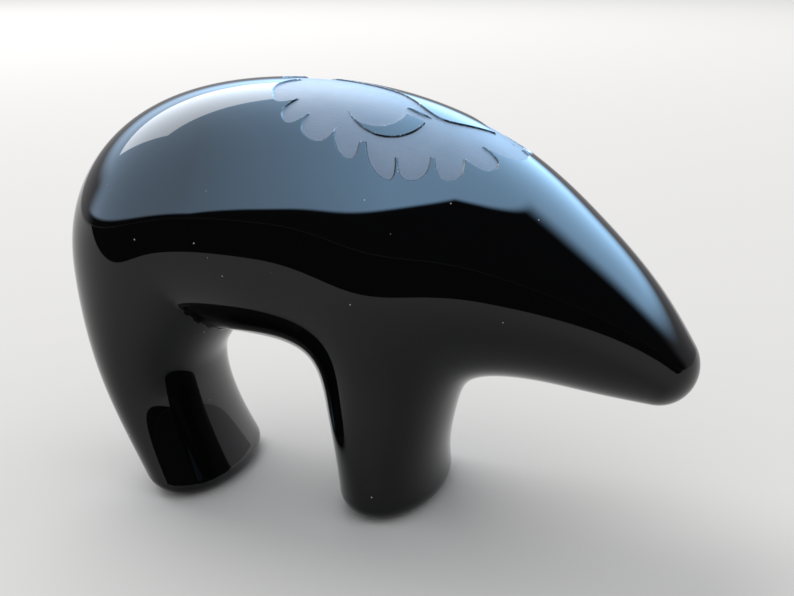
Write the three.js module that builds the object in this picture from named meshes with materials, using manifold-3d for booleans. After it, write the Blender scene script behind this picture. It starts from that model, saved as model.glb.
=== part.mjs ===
// A standing bear, cast in one piece and glazed, with a scalloped ornament etched into its back.
// Millimetres. +X is towards the nose, +Z is up, and the bear stands on z = 0.
import * as THREE from 'three';
import { mergeVertices } from 'three/addons/utils/BufferGeometryUtils.js';
import Module from 'manifold-3d';

const wasm = await Module();
wasm.setup();

// Body: one round limb sweeps up the hind legs, over the back and down to the nose.
// Each station of its centre line gives x, z, the radius in the side view and the half width.
// The curve runs inside its stations, as a spline with control points does.
const BODY_STATIONS = [
  { x: -31.5, z: -6, radius: 7.5, half: 21.5 },   // hind foot, below the ground
  { x: -40, z: 8, radius: 8.5, half: 18 },        // hind shank
  { x: -47, z: 26, radius: 10.5, half: 19 },      // thigh
  { x: -42, z: 45, radius: 19, half: 23 },        // rump
  { x: -37.5, z: 55.5, radius: 23, half: 25 },    // croup
  { x: -11, z: 55.5, radius: 26, half: 26 },      // back
  { x: 11, z: 50.5, radius: 25.5, half: 25 },     // shoulder
  { x: 30, z: 44, radius: 17.5, half: 20 },       // neck
  { x: 43.5, z: 36.5, radius: 13, half: 14 },     // head
  { x: 54, z: 29.5, radius: 7.5, half: 9 },       // nose
];

// The front legs are one broad pillar that runs up into the shoulder.
const FORELEG_STATIONS = [
  { x: 5.5, z: -8, radius: 10.5, half: 21 },      // front foot, below the ground
  { x: 3.5, z: 7, radius: 9.5, half: 20 },        // shank
  { x: 3.5, z: 20, radius: 12.5, half: 20 },      // upper leg
  { x: 4, z: 33, radius: 15, half: 21 },          // top of the leg
  { x: 4, z: 44, radius: 18, half: 22 },          // inside the shoulder
];

const CROTCH_BLEND = 11;      // how softly the front legs flow into the belly
const FOOT_ROUNDING = 3.5;      // radius of the edge between a foot's side and its flat underside

// Ornament on the back, laid out in plan: x along the back, v out from the spine on either side.
const ETCH_DEPTH = 0.35;
const REAR_TIP = { x: -18, v: 0 };
// Each petal of one wing, from the tail round to the nose: where it leaves its notch, its tip, and
// where it comes back to the next notch.
const PETALS = [
  { from: { x: -13.5, v: 2 }, tip: { x: -16.7, v: 9.6 }, to: { x: -11.2, v: 10.9 } },
  { from: { x: -11.2, v: 11.1 }, tip: { x: -12.8, v: 15.9 }, to: { x: -8.2, v: 14.3 } },
  { from: { x: -8.1, v: 14.5 }, tip: { x: -6.8, v: 18.8 }, to: { x: -2.6, v: 16.2 } },
  { from: { x: -2.4, v: 16.4 }, tip: { x: 0.2, v: 20.1 }, to: { x: 1.7, v: 17.3 } },
  { from: { x: 2.7, v: 17.2 }, tip: { x: 7, v: 21.3 }, to: { x: 8.6, v: 18 } },
  { from: { x: 8.9, v: 17.9 }, tip: { x: 12.2, v: 20.2 }, to: { x: 14.2, v: 15.7 } },
  { from: { x: 14.7, v: 15.4 }, tip: { x: 18, v: 18.1 }, to: { x: 19.6, v: 13.4 } },
  { from: { x: 19.8, v: 13.2 }, tip: { x: 24.9, v: 11.8 }, to: { x: 22, v: 8.6 } },
  { from: { x: 22.2, v: 8.4 }, tip: { x: 28.9, v: 3.8 }, to: { x: 25, v: 0 } },
];
const PETAL_SIDE = 0.45;      // share of a petal's length that its sides run out from the notches
const PETAL_LEAN = 0.1;       // how far they lean towards each other, as a share of its width
const PETAL_CROWN = 0.3;      // how far the round of its tip runs to each side, as a share of its width
const PETAL_STEPS = 4;        // straight pieces in each half petal

// A glossy crescent hangs under a matte disc in each wing.
const CRESCENT_OUTER = { x: 4.7, v: 8.5, radius: 7.3 };
const CRESCENT_INNER = { x: 2.7, v: 8.8, radius: 5.3 };
const CRESCENT_START = THREE.MathUtils.degToRad(149);   // its thin end, towards the tail
const CRESCENT_END = THREE.MathUtils.degToRad(8);       // its blunt end, towards the nose
const CRESCENT_STEPS = 12;

// A short glossy sliver lies beside the crescent's blunt end.
const SLIVER = { x0: 7.8, v0: 6.9, x1: 12.6, v1: 7.5, half: 0.45 };
const SLIVER_STEPS = 5;

// A glossy leaf lies along the spine, with a thin tail on the far side of the ridge.
const LEAF_TIP = { x: 22, y: 0 };
const LEAF_TAIL = { x: -10, y: 2.4 };
const LEAF_SIDE = { x: 12.5, half: 5.9 };
const LEAF_WAIST = { x: 3.6, near: 0.2, far: 4.4 };
const LEAF_STEPS = 8;

// Facets.
const CELL = 3.15;            // side of the facets
const FOOT_CELL = 1.5;        // height of the facets on the feet, where their edge is rounded
const FOOT_LEVELS = 5;        // rows of them
const GRID_REAR = -65;        // the grid of cells that the facets come from, clear of the bear
const GRID_FRONT = 67;
const GRID_TOP = 86;
const GRID_SIDE_CELLS = 10;
const RELAX_ROUNDS = 6;       // times that the facets' corners even out their spacing
const RELAX_SHARE = 0.7;      // how much of the way each corner goes to the middle of its neighbours
const LIMB_SAMPLES = 40;
const PRISM_BOTTOM = 56;      // the ornament's cutter spans these heights
const PRISM_TOP = 86;
const GROUND_SNAP = 0.01;     // a vertex this close to the ground lies on it

const GLAZE = new THREE.MeshStandardMaterial({ color: 0x08090b, roughness: 0.06, metalness: 0 });

// A uniform cubic B-spline through a limb's stations, with its end stations tripled.
function stationAt(stations, t) {
  const last = stations.length - 1;
  const spans = last + 2;
  const place = THREE.MathUtils.clamp(t, 0, 1) * spans;
  const span = Math.min(Math.floor(place), spans - 1);
  const f = place - span;
  const weights = [
    (1 - f) ** 3 / 6,
    (3 * f ** 3 - 6 * f ** 2 + 4) / 6,
    (-3 * f ** 3 + 3 * f ** 2 + 3 * f + 1) / 6,
    f ** 3 / 6,
  ];
  const section = { x: 0, z: 0, radius: 0, half: 0 };
  for (let k = 0; k < weights.length; k += 1) {
    const station = stations[THREE.MathUtils.clamp(span + k - 2, 0, last)];
    section.x += weights[k] * station.x;
    section.z += weights[k] * station.z;
    section.radius += weights[k] * station.radius;
    section.half += weights[k] * station.half;
  }
  return section;
}

function limb(stations) {
  const samples = [];
  for (let i = 0; i <= LIMB_SAMPLES; i += 1) samples.push(stationAt(stations, i / LIMB_SAMPLES));
  return { stations, samples };
}

// How far a point is outside one elliptical section of a limb.
function sectionGap(section, x, y, z) {
  const across = (y * section.radius) / section.half;
  return Math.hypot(x - section.x, across, z - section.z) - section.radius;
}

// The gap to the whole limb: the nearest sample, then two steps of a parabola about it.
function limbGap(body, x, y, z) {
  let best = Infinity;
  let nearest = 0;
  body.samples.forEach((section, i) => {
    const gap = sectionGap(section, x, y, z);
    if (gap < best) {
      best = gap;
      nearest = i;
    }
  });
  const gapAt = (t) => sectionGap(stationAt(body.stations, t), x, y, z);
  const step = 1 / LIMB_SAMPLES;
  let t = THREE.MathUtils.clamp(nearest * step, step, 1 - step);
  for (const reach of [step / 2, step / 8]) {
    const before = gapAt(t - reach);
    const here = gapAt(t);
    const after = gapAt(t + reach);
    const bend = before - 2 * here + after;
    const shift = Math.abs(bend) > 1e-9 ? (0.5 * (before - after)) / bend : 0;
    t = THREE.MathUtils.clamp(t + reach * THREE.MathUtils.clamp(shift, -2, 2), 0, 1);
  }
  return Math.min(best, gapAt(t));
}

function smoothMin(a, b, blend) {
  const overlap = Math.max(blend - Math.abs(a - b), 0) / blend;
  return Math.min(a, b) - (overlap ** 3 * blend) / 6;
}

// Both at once, with a round edge of the given radius where they meet.
function roundedMax(a, b, radius) {
  return Math.min(Math.max(a, b), -radius) + Math.hypot(Math.max(a + radius, 0), Math.max(b + radius, 0));
}

const BODY = limb(BODY_STATIONS);
const FORELEG = limb(FORELEG_STATIONS);

// Below zero inside the bear, above zero outside it.
function bearGap(x, y, z) {
  const limbs = smoothMin(limbGap(BODY, x, y, z), limbGap(FORELEG, x, y, z), CROTCH_BLEND);
  return roundedMax(limbs, -z, FOOT_ROUNDING);
}

function slope(x, y, z) {
  const e = 0.02;
  return new THREE.Vector3(
    bearGap(x + e, y, z) - bearGap(x - e, y, z),
    bearGap(x, y + e, z) - bearGap(x, y - e, z),
    bearGap(x, y, z + e) - bearGap(x, y, z - e),
  ).divideScalar(2 * e);
}

// Moves a point straight onto the surface, or to a depth below it.
function settle(point, depth, steps) {
  for (let i = 0; i < steps; i += 1) {
    const direction = slope(point.x, point.y, point.z);
    const gap = bearGap(point.x, point.y, point.z) + depth;
    point.addScaledVector(direction, -gap / direction.lengthSq());
  }
  if (Math.abs(point.z) < GROUND_SNAP) point.z = 0;
}

// Each corner moves towards the middle of its neighbours and back onto the surface.
function relax(points, quads) {
  const neighbours = points.map(() => new Set());
  for (const quad of quads) {
    quad.forEach((corner, i) => neighbours[corner].add(quad[(i + 1) % 4]).add(quad[(i + 3) % 4]));
  }
  const footTop = FOOT_LEVELS * FOOT_CELL;
  for (let round = 0; round < RELAX_ROUNDS; round += 1) {
    const middles = neighbours.map((around) => {
      const middle = new THREE.Vector3();
      for (const corner of around) middle.addScaledVector(points[corner], 1 / around.size);
      return middle;
    });
    middles.forEach((middle, i) => {
      const share = RELAX_SHARE * THREE.MathUtils.smoothstep(points[i].z, FOOT_ROUNDING, footTop);
      settle(points[i].lerp(middle, share), 0, 1);
    });
  }
  points.forEach((point) => settle(point, 0, 3));
}

// Where the grid's planes lie along x, y and z. Its lowest cells hold the ground in their middle.
function gridLevels() {
  const steps = (from, to, step) => {
    const places = [];
    for (let place = from; place < to; place += step) places.push(place);
    return places;
  };
  const side = GRID_SIDE_CELLS * CELL;
  const feet = steps(-1.5 * FOOT_CELL, (FOOT_LEVELS - 1) * FOOT_CELL, FOOT_CELL);
  const above = steps(feet.at(-1) + CELL, GRID_TOP, CELL);
  return [steps(GRID_REAR, GRID_FRONT, CELL), steps(-side, side + CELL / 2, CELL), [...feet, ...above]];
}

// One vertex in each cell of a grid that the surface crosses, and one quad about each crossed edge.
function facets() {
  const levels = gridLevels();
  const count = levels.map((level) => level.length);
  const key = (i, j, k) => (i * count[1] + j) * count[2] + k;
  const gaps = new Float64Array(count[0] * count[1] * count[2]);
  const corner = (i, j, k) => new THREE.Vector3(levels[0][i], levels[1][j], levels[2][k]);
  for (let i = 0; i < count[0]; i += 1) {
    for (let j = 0; j < count[1]; j += 1) {
      for (let k = 0; k < count[2]; k += 1) gaps[key(i, j, k)] = bearGap(...corner(i, j, k).toArray());
    }
  }
  const axes = [[1, 0, 0], [0, 1, 0], [0, 0, 1]];
  const sums = new Map();
  const crossings = [];
  const add = (cell, point) => {
    const sum = sums.get(cell) ?? { point: new THREE.Vector3(), hits: 0 };
    sum.point.add(point);
    sum.hits += 1;
    sums.set(cell, sum);
  };
  for (let i = 0; i < count[0]; i += 1) {
    for (let j = 0; j < count[1]; j += 1) {
      for (let k = 0; k < count[2]; k += 1) {
        axes.forEach(([a, b, c], axis) => {
          if (i + a >= count[0] || j + b >= count[1] || k + c >= count[2]) return;
          const here = gaps[key(i, j, k)];
          const next = gaps[key(i + a, j + b, k + c)];
          if ((here < 0) === (next < 0)) return;
          const hit = corner(i, j, k).lerp(corner(i + a, j + b, k + c), here / (here - next));
          const [p, q] = [axes[(axis + 1) % 3], axes[(axis + 2) % 3]];
          const around = [[0, 0], [1, 0], [1, 1], [0, 1]].map(([s, t]) => (
            key(i - s * p[0] - t * q[0], j - s * p[1] - t * q[1], k - s * p[2] - t * q[2])));
          around.forEach((cell) => add(cell, hit));
          crossings.push(here < 0 ? around : around.reverse());
        });
      }
    }
  }
  const index = new Map([...sums.keys()].map((cell, n) => [cell, n]));
  const points = [...sums.values()].map(({ point, hits }) => point.divideScalar(hits));
  points.forEach((point) => settle(point, 0, 2));
  const quads = crossings.map((quad) => quad.map((cell) => index.get(cell)));
  relax(points, quads);
  const triangles = [];
  for (const [a, b, c, d] of quads) {
    if (points[a].distanceTo(points[c]) < points[b].distanceTo(points[d])) triangles.push(a, b, c, a, c, d);
    else triangles.push(a, b, d, b, c, d);
  }
  return { points, triangles };
}

function solidOf(points, triangles) {
  const vertProperties = new Float32Array(points.flatMap((point) => point.toArray()));
  const triVerts = new Uint32Array(triangles);
  return new wasm.Manifold(new wasm.Mesh({ numProp: 3, vertProperties, triVerts }));
}

function solidOfGeometry(geometry) {
  const bare = geometry.clone();
  bare.deleteAttribute('normal');
  bare.deleteAttribute('uv');
  const merged = mergeVertices(bare, 1e-4);
  const vertProperties = new Float32Array(merged.attributes.position.array);
  const triVerts = new Uint32Array(merged.index.array);
  return new wasm.Manifold(new wasm.Mesh({ numProp: 3, vertProperties, triVerts }));
}

function geometryOf(solid) {
  const mesh = solid.getMesh();
  const geometry = new THREE.BufferGeometry();
  geometry.setAttribute('position', new THREE.BufferAttribute(new Float32Array(mesh.vertProperties), 3));
  geometry.setIndex(new THREE.BufferAttribute(new Uint32Array(mesh.triVerts), 1));
  geometry.computeVertexNormals();
  return geometry;
}

// One petal: out from its notch, round its tip and back.
function petalPoints({ from, tip, to }) {
  const start = new THREE.Vector2(from.x, from.v);
  const crown = new THREE.Vector2(tip.x, tip.v);
  const end = new THREE.Vector2(to.x, to.v);
  const across = end.clone().sub(start);
  const side = crown.clone().sub(start.clone().lerp(end, 0.5)).multiplyScalar(PETAL_SIDE);
  const leaving = start.clone().add(side).addScaledVector(across, PETAL_LEAN);
  const arriving = end.clone().add(side).addScaledVector(across, -PETAL_LEAN);
  const before = crown.clone().addScaledVector(across, -PETAL_CROWN);
  const after = crown.clone().addScaledVector(across, PETAL_CROWN);
  const rise = new THREE.CubicBezierCurve(start, leaving, before, crown);
  const fall = new THREE.CubicBezierCurve(crown, after, arriving, end);
  return [...rise.getPoints(PETAL_STEPS).slice(0, -1), ...fall.getPoints(PETAL_STEPS)];
}

// One wing's edge on the v side, from the tip of the rear petal on the spine to the cleft in front.
function wingEdge() {
  const first = PETALS[0].from;
  const rear = { from: { x: first.x, v: -first.v }, tip: REAR_TIP, to: first };
  const edge = petalPoints(rear).slice(PETAL_STEPS, -1);
  for (const petal of PETALS) edge.push(...petalPoints(petal));
  return edge;
}

function leafPoints() {
  const { x, half } = LEAF_SIDE;
  const near = new THREE.SplineCurve([
    new THREE.Vector2(LEAF_TAIL.x, LEAF_TAIL.y),
    new THREE.Vector2(LEAF_WAIST.x, LEAF_WAIST.near),
    new THREE.Vector2(x, -half),
    new THREE.Vector2(LEAF_TIP.x, LEAF_TIP.y),
  ]);
  const far = new THREE.SplineCurve([
    new THREE.Vector2(LEAF_TIP.x, LEAF_TIP.y),
    new THREE.Vector2(x, half),
    new THREE.Vector2(LEAF_WAIST.x, LEAF_WAIST.far),
    new THREE.Vector2(LEAF_TAIL.x, LEAF_TAIL.y),
  ]);
  return [...near.getPoints(LEAF_STEPS * 2).slice(0, -1), ...far.getPoints(LEAF_STEPS * 2).slice(0, -1)];
}

// The crescent between its two circles. The inner circle is reached along a ray from the outer's centre.
function crescentPoints() {
  const outer = CRESCENT_OUTER;
  const inner = CRESCENT_INNER;
  const under = [];
  const over = [];
  for (let i = 0; i <= CRESCENT_STEPS; i += 1) {
    const angle = THREE.MathUtils.lerp(CRESCENT_START, CRESCENT_END, i / CRESCENT_STEPS);
    const ray = new THREE.Vector2(Math.cos(angle), Math.sin(angle));
    const offset = new THREE.Vector2(outer.x - inner.x, outer.v - inner.v);
    const along = offset.dot(ray);
    const reach = -along + Math.sqrt(along ** 2 + inner.radius ** 2 - offset.lengthSq());
    const centre = new THREE.Vector2(outer.x, outer.v);
    under.push(centre.clone().addScaledVector(ray, outer.radius));
    over.push(centre.clone().addScaledVector(ray, reach));
  }
  return [...under, ...over.reverse()];
}

function sliverPoints() {
  const start = new THREE.Vector2(SLIVER.x0, SLIVER.v0);
  const end = new THREE.Vector2(SLIVER.x1, SLIVER.v1);
  const along = end.clone().sub(start);
  const across = new THREE.Vector2(-along.y, along.x).normalize();
  const side = (sign) => Array.from({ length: SLIVER_STEPS }, (_, i) => {
    const t = (i + (sign > 0 ? 0 : 1)) / SLIVER_STEPS;
    return start.clone().addScaledVector(along, t).addScaledVector(across, sign * SLIVER.half * Math.sin(Math.PI * t));
  });
  return [...side(1), ...side(-1).reverse()];
}

function mirror(points) {
  return points.map((point) => new THREE.Vector2(point.x, -point.y)).reverse();
}

// The etched ground in plan: both wings, less the glossy islands left standing in it.
function ornamentPrism() {
  const wing = wingEdge();
  const anticlockwise = [...wing, ...mirror(wing.slice(1, -1))].reverse();
  const shape = new THREE.Shape(anticlockwise);
  for (const island of [crescentPoints(), sliverPoints()]) {
    shape.holes.push(new THREE.Path(island), new THREE.Path(mirror(island)));
  }
  shape.holes.push(new THREE.Path(leafPoints()));
  const options = { depth: PRISM_TOP - PRISM_BOTTOM, bevelEnabled: false, curveSegments: 1 };
  const prism = new THREE.ExtrudeGeometry(shape, options);
  prism.translate(0, 0, PRISM_BOTTOM);
  return solidOfGeometry(prism);
}

function bearSolid() {
  const { points, triangles } = facets();
  const skin = solidOf(points, triangles);
  points.forEach((point) => settle(point, ETCH_DEPTH, 3));
  const core = solidOf(points, triangles);
  return skin.subtract(ornamentPrism().subtract(core));
}

const bear = new THREE.Mesh(geometryOf(bearSolid()), GLAZE);
bear.name = 'bear';

const figurine = new THREE.Group();
figurine.add(bear);

export default figurine;
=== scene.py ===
"""A standing bear, cast in one piece and glazed black, with a scalloped ornament etched into its back.

The bear is one piece, bear_glazed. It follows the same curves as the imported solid, in a finer mesh, and its
ornament has true walls and a sunk matt ground. Sizes are in millimetres until a mesh or an object is made.
"""

import math

import bmesh
import bpy
import numpy as np
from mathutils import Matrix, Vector, noise


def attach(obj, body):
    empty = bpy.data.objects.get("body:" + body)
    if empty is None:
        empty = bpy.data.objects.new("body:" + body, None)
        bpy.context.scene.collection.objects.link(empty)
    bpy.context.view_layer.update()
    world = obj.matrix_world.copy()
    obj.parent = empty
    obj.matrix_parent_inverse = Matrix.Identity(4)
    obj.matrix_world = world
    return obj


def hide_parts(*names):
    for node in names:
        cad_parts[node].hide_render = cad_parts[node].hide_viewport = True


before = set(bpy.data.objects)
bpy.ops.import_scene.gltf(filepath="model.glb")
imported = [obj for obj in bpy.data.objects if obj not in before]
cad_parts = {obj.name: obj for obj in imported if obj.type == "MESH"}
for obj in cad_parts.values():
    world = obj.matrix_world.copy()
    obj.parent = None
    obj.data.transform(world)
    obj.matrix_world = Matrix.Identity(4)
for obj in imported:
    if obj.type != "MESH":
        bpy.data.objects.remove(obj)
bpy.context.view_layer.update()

MM = 0.001

# Camera: low over the table, with the nose turned a little towards it.
CAMERA_PLACE = (66.4, -232.6, 103.8)
CAMERA_DOWN = 15.15           # degrees below level
CAMERA_TURN = 15.0            # degrees round from the bear's side
CAMERA_LENS = 58.94
SENSOR_WIDTH = 36.0

# Body: one round limb sweeps up the hind legs, over the back and down to the nose.
# Each station of its centre line: x, z, radius seen from the side, half width.
BODY_STATIONS = np.array([
    (-31.5, -6.0, 7.5, 21.5),      # hind foot, below the ground
    (-40.0, 8.0, 8.5, 18.0),       # hind shank
    (-47.0, 26.0, 10.5, 19.0),     # thigh
    (-42.0, 45.0, 19.0, 23.0),     # rump
    (-37.5, 55.5, 23.0, 25.0),     # croup
    (-11.0, 55.5, 26.0, 26.0),     # back
    (11.0, 50.5, 25.5, 25.0),      # shoulder
    (30.0, 44.0, 17.5, 20.0),      # neck
    (43.5, 36.5, 13.0, 14.0),      # head
    (54.0, 29.5, 7.5, 9.0),        # nose
])
# The front legs are one broad pillar that runs up into the shoulder.
FORELEG_STATIONS = np.array([
    (5.5, -8.0, 10.5, 21.0),       # front foot, below the ground
    (3.5, 7.0, 9.5, 20.0),         # shank
    (3.5, 20.0, 12.5, 20.0),       # upper leg
    (4.0, 33.0, 15.0, 21.0),       # top of the leg
    (4.0, 44.0, 18.0, 22.0),       # inside the shoulder
])
CROTCH_BLEND = 11.0
FOOT_ROUNDING = 3.5
LIMB_SAMPLES = 40
SLOPE_REACH = 0.02            # how far apart two gaps are read for a slope

# Ornament, laid out in plan: x along the back, v out from the spine on either side.
REAR_NOTCH = (-13.5, 2.0)
REAR_TIP = (-18.0, 0.0)
PETALS = [                    # leaves its notch, its tip, comes back to the next notch
    ((-13.5, 2.0), (-16.7, 9.4), (-11.2, 10.9)),
    ((-11.2, 11.1), (-12.4, 16.1), (-8.2, 14.3)),
    ((-8.1, 14.5), (-6.8, 18.7), (-2.6, 16.2)),
    ((-2.5, 16.4), (0.0, 20.1), (2.0, 17.5)),
    ((3.2, 17.3), (6.9, 20.9), (8.6, 18.1)),
    ((9.1, 17.9), (12.2, 19.8), (14.3, 15.9)),
    ((15.1, 15.6), (18.3, 17.6), (19.7, 13.3)),
    ((19.8, 13.2), (24.9, 11.6), (22.0, 8.6)),
    ((22.2, 8.4), (28.9, 3.8), (25.0, 0.0)),
]
PETAL_SIDE = 0.62             # share of a petal's length that its sides run straight out from the notches
PETAL_CROWN = 0.4             # how far the round of its tip runs to each side, as a share of its width
PETAL_STEPS = 14
CRESCENT_OUTER = (4.7, 8.5, 7.3)     # x, v and radius
CRESCENT_INNER = (2.7, 9.0, 5.4)
CRESCENT_ENDS = (149.0, 8.0)         # degrees about the outer circle's middle
CRESCENT_STEPS = 40
SLIVER_ENDS = ((7.8, 6.9), (12.6, 7.5))
SLIVER_HALF = 0.45
SLIVER_STEPS = 16
LEAF_NEAR = [(-10.0, 2.4), (4.0, -0.4), (14.0, -6.6), (23.0, -0.8)]
LEAF_FAR = [(23.0, -0.8), (13.0, 5.9), (3.6, 4.4), (-10.0, 2.4)]
LEAF_STEPS = 48

# The etched edge in section: the ground curves up to the glaze between these distances from the
# stencil's line, and the matt surface fades out on the way.
ETCH_DEPTH = 0.35
WALL = (-0.16, 0.24)
GROUND_FADE = (-0.14, 0.0)
WALL_LEVELS = 5                      # lines cut along the wall
EDGE_WOBBLE = 0.04                   # how far the hand-cut stencil strays from its line
WOBBLE_LENGTH = 1.6
TILT_REACH = 0.03                    # how far apart two distances are read for the wall's tilt

# Mesh.
SKIN_CELL = 1.0
RELAX_ROUNDS = 6
RELAX_STEPS = 2               # moves between two settlings onto the surface
ORNAMENT_MARGIN = 1.2         # faces this close to the ornament are made finer
ORNAMENT_CUTS = 2
ORNAMENT_LOW = 56.0           # the ornament lies above this height
SNAP = 0.03                   # a corner this close to a level counts as on it
CHUNK = 4000                  # points whose distances are worked out at once


def station_at(stations, t):
    """The limb's section at each t from 0 to 1. The stations are a cubic B-spline's control points."""
    first, last = stations[:1], stations[-1:]
    padded = np.vstack([first, first, stations, last, last])
    spans = len(padded) - 3
    place = np.clip(t, 0, 1) * spans
    span = np.minimum(place.astype(int), spans - 1)
    f = (place - span)[:, None]
    return ((1 - f) ** 3 * padded[span]
            + (3 * f ** 3 - 6 * f ** 2 + 4) * padded[span + 1]
            + (-3 * f ** 3 + 3 * f ** 2 + 3 * f + 1) * padded[span + 2]
            + f ** 3 * padded[span + 3]) / 6


def section_gap(section, points):
    """How far each point is outside its elliptical section."""
    x, z, radius, half = section.T
    across = points[:, 1] * radius / half
    return np.sqrt((points[:, 0] - x) ** 2 + across ** 2 + (points[:, 2] - z) ** 2) - radius


def limb_gap(stations, points):
    """The gap to a whole limb: the nearest sample, then two steps of a parabola about it."""
    places = np.linspace(0, 1, LIMB_SAMPLES + 1)
    best = np.full(len(points), np.inf)
    t = np.zeros(len(points))
    for place, section in zip(places, station_at(stations, places)):
        gap = section_gap(section[None, :], points)
        nearer = gap < best
        best[nearer] = gap[nearer]
        t[nearer] = place
    step = places[1]
    t = np.clip(t, step, 1 - step)
    for reach in (step / 2, step / 8):
        before, here, after = (section_gap(station_at(stations, t + s), points) for s in (-reach, 0, reach))
        bend = before - 2 * here + after
        bent = np.abs(bend) > 1e-9
        shift = np.where(bent, 0.5 * (before - after) / np.where(bent, bend, 1), 0)
        t = np.clip(t + reach * np.clip(shift, -2, 2), 0, 1)
    return np.minimum(best, section_gap(station_at(stations, t), points))


def bear_gap(points):
    """Below zero inside the bear, above zero outside it."""
    body = limb_gap(BODY_STATIONS, points)
    foreleg = limb_gap(FORELEG_STATIONS, points)
    overlap = np.maximum(CROTCH_BLEND - np.abs(body - foreleg), 0) / CROTCH_BLEND
    limbs = np.minimum(body, foreleg) - overlap ** 3 * CROTCH_BLEND / 6
    under = -points[:, 2]
    inner = np.minimum(np.maximum(limbs, under), -FOOT_ROUNDING)
    return inner + np.hypot(np.maximum(limbs + FOOT_ROUNDING, 0), np.maximum(under + FOOT_ROUNDING, 0))


def slope(points):
    """Which way the gap grows at each point, and how fast."""
    reaches = np.eye(3) * SLOPE_REACH
    rises = [bear_gap(points + reach) - bear_gap(points - reach) for reach in reaches]
    return np.stack(rises, axis=1) / (2 * SLOPE_REACH)


def settle(points, steps):
    """Moves each point straight onto the bear's surface."""
    for _ in range(steps):
        direction = slope(points)
        share = bear_gap(points) / np.maximum((direction ** 2).sum(axis=1), 1e-6)
        points = points - direction * share[:, None]
    return points


def unit(vectors):
    return vectors / np.linalg.norm(vectors, axis=-1, keepdims=True)


# The ornament's outlines in plan.

def bezier(a, b, c, d, steps):
    t = np.linspace(0, 1, steps + 1)[:, None]
    return (1 - t) ** 3 * a + 3 * (1 - t) ** 2 * t * b + 3 * (1 - t) * t ** 2 * c + t ** 3 * d


def petal(start, tip, end):
    """Out from its notch, round its tip and back."""
    start, tip, end = (np.array(point) for point in (start, tip, end))
    across = end - start
    side = (tip - (start + end) / 2) * PETAL_SIDE
    rise = bezier(start, start + side, tip - across * PETAL_CROWN, tip, PETAL_STEPS)
    fall = bezier(tip, tip + across * PETAL_CROWN, end + side, end, PETAL_STEPS)
    return np.vstack([rise[:-1], fall])


def mirrored(outline):
    return (outline * (1, -1))[::-1]


def wings():
    """The whole scalloped edge, both wings."""
    rear = petal((REAR_NOTCH[0], -REAR_NOTCH[1]), REAR_TIP, REAR_NOTCH)[PETAL_STEPS:-1]
    wing = np.vstack([rear] + [petal(*points) for points in PETALS])
    return np.vstack([wing, mirrored(wing[1:-1])])


def crescent():
    """Between two circles. The inner one is reached along a ray from the outer one's middle."""
    outer, inner = np.array(CRESCENT_OUTER), np.array(CRESCENT_INNER)
    angles = np.radians(np.linspace(*CRESCENT_ENDS, CRESCENT_STEPS + 1))
    rays = np.stack([np.cos(angles), np.sin(angles)], axis=1)
    offset = outer[:2] - inner[:2]
    along = rays @ offset
    reach = -along + np.sqrt(along ** 2 + inner[2] ** 2 - offset @ offset)
    under = outer[:2] + rays * outer[2]
    over = outer[:2] + rays * reach[:, None]
    return np.vstack([under, over[::-1]])


def sliver():
    start, end = (np.array(point) for point in SLIVER_ENDS)
    along = end - start
    across = np.array((-along[1], along[0])) / np.linalg.norm(along)
    t = np.linspace(0, 1, SLIVER_STEPS + 1)[:, None]
    bulge = np.sin(np.pi * t) * SLIVER_HALF * across
    line = start + along * t
    return np.vstack([(line + bulge)[:-1], (line - bulge)[:0:-1]])


def through(stops, steps):
    """A smooth curve through a few stops."""
    stops = np.array(stops)
    padded = np.vstack([stops[:1], stops, stops[-1:]])
    place = np.linspace(0, len(stops) - 1, steps + 1)
    span = np.minimum(place.astype(int), len(stops) - 2)
    f = (place - span)[:, None]
    before, a, b, after = (padded[span + k] for k in range(4))
    leaving, arriving = (b - before) / 2, (after - a) / 2
    return ((2 * a - 2 * b + leaving + arriving) * f ** 3
            + (3 * b - 3 * a - 2 * leaving - arriving) * f ** 2 + leaving * f + a)


def leaf():
    return np.vstack([through(LEAF_NEAR, LEAF_STEPS)[:-1], through(LEAF_FAR, LEAF_STEPS)[:-1]])


def lifted(outline):
    """A plan outline laid on the bear's back."""
    low, high = np.full(len(outline), ORNAMENT_LOW), np.full(len(outline), 90.0)
    for _ in range(30):
        middle = (low + high) / 2
        inside = bear_gap(np.column_stack([outline, middle])) < 0
        low, high = np.where(inside, middle, low), np.where(inside, high, middle)
    return np.column_stack([outline, low])


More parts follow.
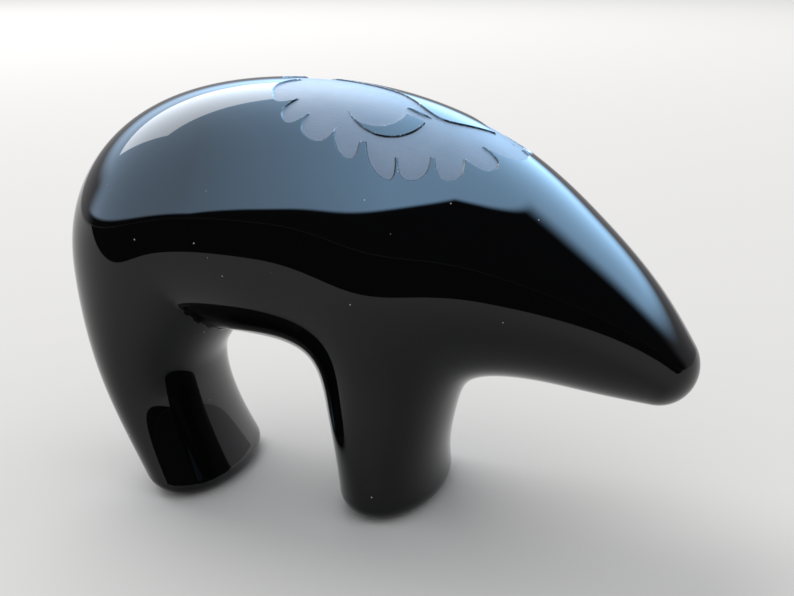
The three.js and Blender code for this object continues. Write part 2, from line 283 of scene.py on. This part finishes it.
class Stencil:
    """The ornament's outlines on the bear's back, and how far a point is from them."""

    def __init__(self):
        outlines = [wings(), crescent(), mirrored(crescent()), sliver(), mirrored(sliver()), leaf()]
        on_back = [lifted(outline) for outline in outlines]
        self.starts = np.vstack(on_back)
        self.ends = np.vstack([np.roll(outline, -1, axis=0) for outline in on_back])

    def inside(self, points):
        """Whether a plan point is in the etched ground: in the wings, and in none of the islands."""
        x, y = points[:, :1], points[:, 1:2]
        x0, y0, x1, y1 = self.starts[:, 0], self.starts[:, 1], self.ends[:, 0], self.ends[:, 1]
        spans = (y0 > y) != (y1 > y)
        rise = np.where(y1 == y0, 1, y1 - y0)
        crossings = spans & (x < x0 + (y - y0) * (x1 - x0) / rise)
        return crossings.sum(axis=1) % 2 == 1

    def distance(self, points):
        """Below zero on the etched ground, above zero on the glaze."""
        along = self.ends - self.starts
        length = np.maximum((along ** 2).sum(axis=1), 1e-9)
        from_start = (self.starts * along).sum(axis=1)
        result = []
        for first in range(0, len(points), CHUNK):
            part = points[first:first + CHUNK]
            reach = part @ along.T - from_start
            share = np.clip(reach / length, 0, 1)
            square = ((part ** 2).sum(axis=1)[:, None] + (self.starts ** 2).sum(axis=1)
                      - 2 * part @ self.starts.T - 2 * share * reach + share ** 2 * length)
            apart = np.sqrt(np.maximum(square.min(axis=1), 0))
            result.append(np.where(self.inside(part), -apart, apart))
        stray = [noise.noise(Vector(point) / WOBBLE_LENGTH) * EDGE_WOBBLE for point in points]
        return np.concatenate(result) + stray

    def rise(self, points, normals):
        """Which way along the surface the distance grows."""
        sideways = unit(np.cross(normals, (1.0, 0.0, 0.0)))
        result = np.zeros_like(points)
        for tangent in (sideways, np.cross(sideways, normals)):
            step = tangent * TILT_REACH
            growth = (self.distance(points + step) - self.distance(points - step)) / (2 * TILT_REACH)
            result += tangent * growth[:, None]
        return result


def wall(places):
    """How deep the surface lies at each distance from the stencil's line, and how fast that changes."""
    low, high = WALL
    turn = np.pi * np.clip((places - low) / (high - low), 0, 1)
    depth = ETCH_DEPTH * (1 + np.cos(turn)) / 2
    change = -ETCH_DEPTH * np.sin(turn) / 2 * np.pi / (high - low)
    return depth, change


def coordinates(mesh):
    """A mesh's corners in millimetres."""
    flat = np.empty(len(mesh.vertices) * 3)
    mesh.vertices.foreach_get("co", flat)
    return flat.reshape(-1, 3) / MM


def even_skin(node):
    """A closed mesh of even cells on the bear's surface, without the ornament."""
    mesh = node.data.copy()
    bm = bmesh.new()
    bm.from_mesh(mesh)
    bmesh.ops.remove_doubles(bm, verts=bm.verts, dist=0.01 * MM)
    bm.to_mesh(mesh)
    bm.free()
    rough = bpy.data.objects.new("rough_skin", mesh)
    bpy.context.collection.objects.link(rough)
    remesh = rough.modifiers.new("even cells", "REMESH")
    remesh.mode = "VOXEL"
    remesh.voxel_size = SKIN_CELL * MM
    evaluated = rough.evaluated_get(bpy.context.evaluated_depsgraph_get())
    skin = bpy.data.meshes.new_from_object(evaluated)
    bpy.data.objects.remove(rough)
    points = settle(coordinates(skin), 3)
    edges = np.empty(len(skin.edges) * 2, int)
    skin.edges.foreach_get("vertices", edges)
    a, b = edges.reshape(-1, 2).T
    count = np.bincount(edges, minlength=len(points))[:, None]
    for _ in range(RELAX_ROUNDS):
        for _ in range(RELAX_STEPS):
            total = np.zeros_like(points)
            np.add.at(total, a, points[b])
            np.add.at(total, b, points[a])
            points = (points + total / count) / 2
        points = settle(points, 1)
    points = settle(points, 2)
    skin.vertices.foreach_set("co", (points * MM).ravel())
    return skin


def place_corners(verts, points):
    for vert, point in zip(verts, points):
        vert.co = point * MM


def points_of(verts):
    return np.array([vert.co for vert in verts]) / MM


def split_at(bm, reading, level):
    """Splits every edge and face that crosses one level of the distance to the stencil."""
    for vert in bm.verts:
        if abs(vert[reading] - level) < SNAP:
            vert[reading] = level
    crossed = []
    for edge in bm.edges:
        a, b = (vert[reading] - level for vert in edge.verts)
        if a * b < 0:
            crossed.append((edge, a / (a - b)))
    for edge, share in crossed:
        _, vert = bmesh.utils.edge_split(edge, edge.verts[0], share)
        vert[reading] = level
    bmesh.ops.connect_verts(bm, verts=[vert for vert in bm.verts if vert[reading] == level])
    bmesh.ops.triangulate(bm, faces=[face for face in bm.faces if len(face.verts) > 4])


def ornamented(skin):
    """Makes the skin finer on the back, cuts the stencil's edge into it and sinks the ground."""
    stencil = Stencil()
    bm = bmesh.new()
    bm.from_mesh(skin)
    reading = bm.verts.layers.float.new("stencil")
    etched = bm.verts.layers.float.new("etched")
    facing = bm.verts.layers.float_vector.new("facing")
    far = 10.0
    for vert in bm.verts:
        vert[reading] = far
    back = [vert for vert in bm.verts if vert.co.z > ORNAMENT_LOW * MM]
    for vert, distance in zip(back, stencil.distance(points_of(back))):
        vert[reading] = distance
    near = [edge for edge in bm.edges if all(vert[reading] < ORNAMENT_MARGIN for vert in edge.verts)]
    bmesh.ops.subdivide_edges(bm, edges=near, cuts=ORNAMENT_CUTS, use_grid_fill=True)
    fine = [vert for vert in bm.verts if vert[reading] < far]
    points = settle(points_of(fine), 2)
    place_corners(fine, points)
    for vert, distance in zip(fine, stencil.distance(points)):
        vert[reading] = distance
    touched = [face for face in bm.faces if any(abs(vert[reading]) < 1.5 for vert in face.verts)]
    bmesh.ops.triangulate(bm, faces=touched)
    for level in np.linspace(*WALL, WALL_LEVELS):
        split_at(bm, reading, level)
    bmesh.ops.triangulate(bm, faces=[face for face in bm.faces if len(face.verts) > 4])

    verts = list(bm.verts)
    points = points_of(verts)
    places = np.array([vert[reading] for vert in verts])
    sunk = places < WALL[1]
    points[sunk] = settle(points[sunk], 2)
    normals = unit(slope(points))
    depth, change = wall(places)
    on_wall = np.abs(change) > 1e-6
    tilted = normals.copy()
    tilted[on_wall] += change[on_wall, None] * stencil.rise(points[on_wall], normals[on_wall])
    points -= normals * depth[:, None]
    shares = np.interp(places, GROUND_FADE, (1, 0))
    for vert, point, normal, share in zip(verts, points, unit(tilted), shares):
        vert.co = point * MM
        vert[facing] = normal
        vert[etched] = share
    bm.verts.layers.float.remove(reading)
    bm.to_mesh(skin)
    bm.free()
    return skin


def shade_smoothly(mesh):
    """Smooth shading that follows the true surface instead of the mesh's corners."""
    for face in mesh.polygons:
        face.use_smooth = True
    facing = mesh.attributes["facing"]
    normals = np.empty(len(mesh.vertices) * 3)
    facing.data.foreach_get("vector", normals)
    mesh.normals_split_custom_set_from_vertices(normals.reshape(-1, 3))
    mesh.attributes.remove(facing)


# Materials.

def add(tree, kind, inputs=None, **settings):
    """A shader node with its settings, and its inputs given as values or as sockets to link."""
    made = tree.nodes.new(kind)
    for name, value in settings.items():
        setattr(made, name, value)
    for name, value in (inputs or {}).items():
        if isinstance(value, bpy.types.NodeSocket):
            tree.links.new(value, made.inputs[name])
        else:
            made.inputs[name].default_value = value
    return made


def math_node(tree, operation, *values):
    return add(tree, "ShaderNodeMath", dict(enumerate(values)), operation=operation).outputs[0]


def mixed(tree, share, a, b):
    node = add(tree, "ShaderNodeMix", {0: share, 2: a, 3: b}, data_type="FLOAT")
    return node.outputs[0]


def mixed_colour(tree, share, a, b):
    node = add(tree, "ShaderNodeMix", {0: share, 6: a, 7: b}, data_type="RGBA")
    return node.outputs[2]


def new_material(name):
    material = bpy.data.materials.new(name)
    material.use_nodes = True
    material.node_tree.nodes.clear()
    return material, material.node_tree


def bear_glaze():
    """Near-black gloss glaze with dust on it, and the matt slate ground where it is etched away."""
    material, tree = new_material("black_glaze")
    place = add(tree, "ShaderNodeTexCoord").outputs["Object"]
    etched = add(tree, "ShaderNodeAttribute", attribute_name="etched").outputs["Fac"]

    strokes_place = add(tree, "ShaderNodeMapping", {"Vector": place, "Scale": (0.12, 1.0, 1.0)})
    strokes = add(tree, "ShaderNodeTexNoise", {
        "Vector": strokes_place.outputs[0], "Scale": 2600.0, "Detail": 3.0, "Roughness": 0.6,
    }).outputs[0]
    clouds = add(tree, "ShaderNodeTexNoise", {"Vector": place, "Scale": 160.0, "Detail": 3.0}).outputs[0]
    ripple = add(tree, "ShaderNodeTexNoise", {"Vector": place, "Scale": 55.0, "Detail": 1.0}).outputs[0]

    specks = add(tree, "ShaderNodeTexVoronoi", {"Vector": place, "Scale": 420.0})
    near = math_node(tree, "LESS_THAN", specks.outputs["Distance"], 0.05)
    chosen = add(tree, "ShaderNodeSeparateColor", {0: specks.outputs["Color"]}).outputs[0]
    dust = math_node(tree, "MULTIPLY", near, math_node(tree, "GREATER_THAN", chosen, 0.9))

    ground_tone = math_node(tree, "ADD", math_node(tree, "MULTIPLY", strokes, 0.5), clouds)
    ground = mixed_colour(tree, ground_tone, (0.085, 0.095, 0.115, 1), (0.13, 0.145, 0.17, 1))
    clean = mixed_colour(tree, etched, (0.0015, 0.0016, 0.0019, 1), ground)
    colour = mixed_colour(tree, dust, clean, (0.45, 0.45, 0.45, 1))

    ground_roughness = mixed(tree, strokes, 0.36, 0.56)
    roughness = mixed(tree, dust, mixed(tree, etched, 0.03, ground_roughness), 0.9)

    ripple_bump = add(tree, "ShaderNodeBump", {"Height": ripple, "Strength": 0.25, "Distance": 0.00012})
    stroke_depth = math_node(tree, "MULTIPLY", strokes, etched)
    bump = add(tree, "ShaderNodeBump", {
        "Height": stroke_depth, "Strength": 0.5, "Distance": 0.00006, "Normal": ripple_bump.outputs[0],
    })
    surface = add(tree, "ShaderNodeBsdfPrincipled", {
        "Base Color": colour, "Roughness": roughness, "Normal": bump.outputs[0], "IOR": 1.5,
        "Specular IOR Level": 0.33,
    })
    add(tree, "ShaderNodeOutputMaterial", {"Surface": surface.outputs[0]})
    return material


def pale_floor():
    material, tree = new_material("pale_floor")
    surface = add(tree, "ShaderNodeBsdfDiffuse", {"Color": (0.55, 0.55, 0.55, 1)})
    add(tree, "ShaderNodeOutputMaterial", {"Surface": surface.outputs[0]})
    return material


def make_bear():
    bear = bpy.data.objects.new("bear_glazed", ornamented(even_skin(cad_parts["bear"])))
    bpy.context.collection.objects.link(bear)
    shade_smoothly(bear.data)
    bear.data.materials.clear()
    bear.data.materials.append(bear_glaze())
    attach(bear, "root")
    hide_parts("bear")
    return bear


# The studio.
FLOOR_SIDE = 14000.0
CARD_FRONT = -100.0           # the black card that the glaze mirrors lies in front of this line
CARD_REACH = 5000.0
CARD_HEIGHT = 2.0


def flat_piece(name, size, place, material):
    """A level rectangle with one material, such as the floor and the card."""
    bm = bmesh.new()
    bmesh.ops.create_grid(bm, x_segments=1, y_segments=1, size=0.5)
    bmesh.ops.scale(bm, vec=(size[0] * MM, size[1] * MM, 1), verts=bm.verts)
    bmesh.ops.translate(bm, vec=Vector(place) * MM, verts=bm.verts)
    mesh = bpy.data.meshes.new(name)
    bm.to_mesh(mesh)
    bm.free()
    piece = bpy.data.objects.new(name, mesh)
    bpy.context.collection.objects.link(piece)
    mesh.materials.append(material)
    return piece


def black_card():
    material, tree = new_material("black_card")
    surface = add(tree, "ShaderNodeBsdfDiffuse", {"Color": (0.01, 0.01, 0.01, 1)})
    add(tree, "ShaderNodeOutputMaterial", {"Surface": surface.outputs[0]})
    return material


def make_floor():
    flat_piece("floor", (FLOOR_SIDE, FLOOR_SIDE), (0, 0, 0), pale_floor())
    middle = CARD_FRONT - CARD_REACH / 2
    card = flat_piece("card", (CARD_REACH * 2, CARD_REACH), (0, middle, CARD_HEIGHT), black_card())
    # The card is seen only in the glaze's reflections: a painted dark reflection of the floor in front of the
    # bear. The camera doesn't see it, and it lights, shades and shadows nothing.
    card.visible_camera = False
    card.visible_diffuse = False
    card.visible_shadow = False


def make_world():
    """A room with soft daylight: dark low in front, then a blue-grey sky, which comes lower at the tail."""
    world = bpy.data.worlds.new("studio")
    bpy.context.scene.world = world
    world.use_nodes = True
    tree = world.node_tree
    tree.nodes.clear()
    direction = add(tree, "ShaderNodeTexCoord").outputs["Generated"]
    parts = add(tree, "ShaderNodeSeparateXYZ", {0: direction})
    height = parts.outputs["Z"]
    edge = add(tree, "ShaderNodeMapRange", {
        0: parts.outputs["X"], 1: -0.5, 2: 0.4, 3: 0.05, 4: 0.75,
    }).outputs[0]
    above = math_node(tree, "SUBTRACT", height, edge)
    in_sky = add(tree, "ShaderNodeMapRange", {0: above, 1: -0.01, 2: 0.03}, interpolation_type="SMOOTHSTEP")
    tone = add(tree, "ShaderNodeMapRange", {0: parts.outputs["X"], 1: -0.55, 2: 0.1})
    sky = mixed_colour(tree, tone.outputs[0], (2.2, 3.0, 4.0, 1), (4.1, 7.0, 10.4, 1))
    front = mixed_colour(tree, in_sky.outputs[0], (0.02, 0.02, 0.022, 1), sky)
    backdrop_top = add(tree, "ShaderNodeMapRange", {
        0: height, 1: 0.2, 2: 0.4,
    }, interpolation_type="SMOOTHSTEP")
    behind = mixed_colour(tree, backdrop_top.outputs[0], (0.45, 0.45, 0.47, 1), sky)
    turned = add(tree, "ShaderNodeMapRange", {
        0: parts.outputs["Y"], 1: -0.1, 2: 0.25,
    }, interpolation_type="SMOOTHSTEP")
    mirrored_room = mixed_colour(tree, turned.outputs[0], front, behind)
    ray = add(tree, "ShaderNodeLightPath")
    lit = mixed_colour(tree, ray.outputs["Is Glossy Ray"], (1.0, 1.0, 1.0, 1), mirrored_room)
    colour = mixed_colour(tree, ray.outputs["Is Camera Ray"], lit, (0.84, 0.84, 0.85, 1))
    background = add(tree, "ShaderNodeBackground", {"Color": colour, "Strength": 1.0})
    add(tree, "ShaderNodeOutputWorld", {"Surface": background.outputs[0]})


def make_softbox(name, place, size, power, colour):
    """A rectangular soft light that faces the bear."""
    light = bpy.data.lights.new(name, "AREA")
    light.shape = "RECTANGLE"
    light.size, light.size_y = size[0] * MM, size[1] * MM
    light.energy = power
    light.color = colour
    box = bpy.data.objects.new(name, light)
    bpy.context.collection.objects.link(box)
    box.location = Vector(place) * MM
    target = Vector((0, 0, 40)) * MM
    box.rotation_euler = (box.location - target).to_track_quat("Z", "Y").to_euler()


def make_camera():
    camera = bpy.data.objects.new("camera", bpy.data.cameras.new("camera"))
    bpy.context.collection.objects.link(camera)
    camera.location = Vector(CAMERA_PLACE) * MM
    camera.rotation_euler = (math.radians(90 - CAMERA_DOWN), 0, math.radians(CAMERA_TURN))
    camera.data.lens = CAMERA_LENS
    camera.data.sensor_width = SENSOR_WIDTH
    camera.data.clip_start = 0.01
    camera.data.clip_end = 20
    bpy.context.scene.camera = camera


bpy.context.scene.view_settings.view_transform = "Standard"
make_camera()
make_world()
make_softbox("back_softbox", (-1350, 1350, 1800), (2700, 1200), 52.0, (1.0, 0.98, 0.96))
make_floor()
make_bear()
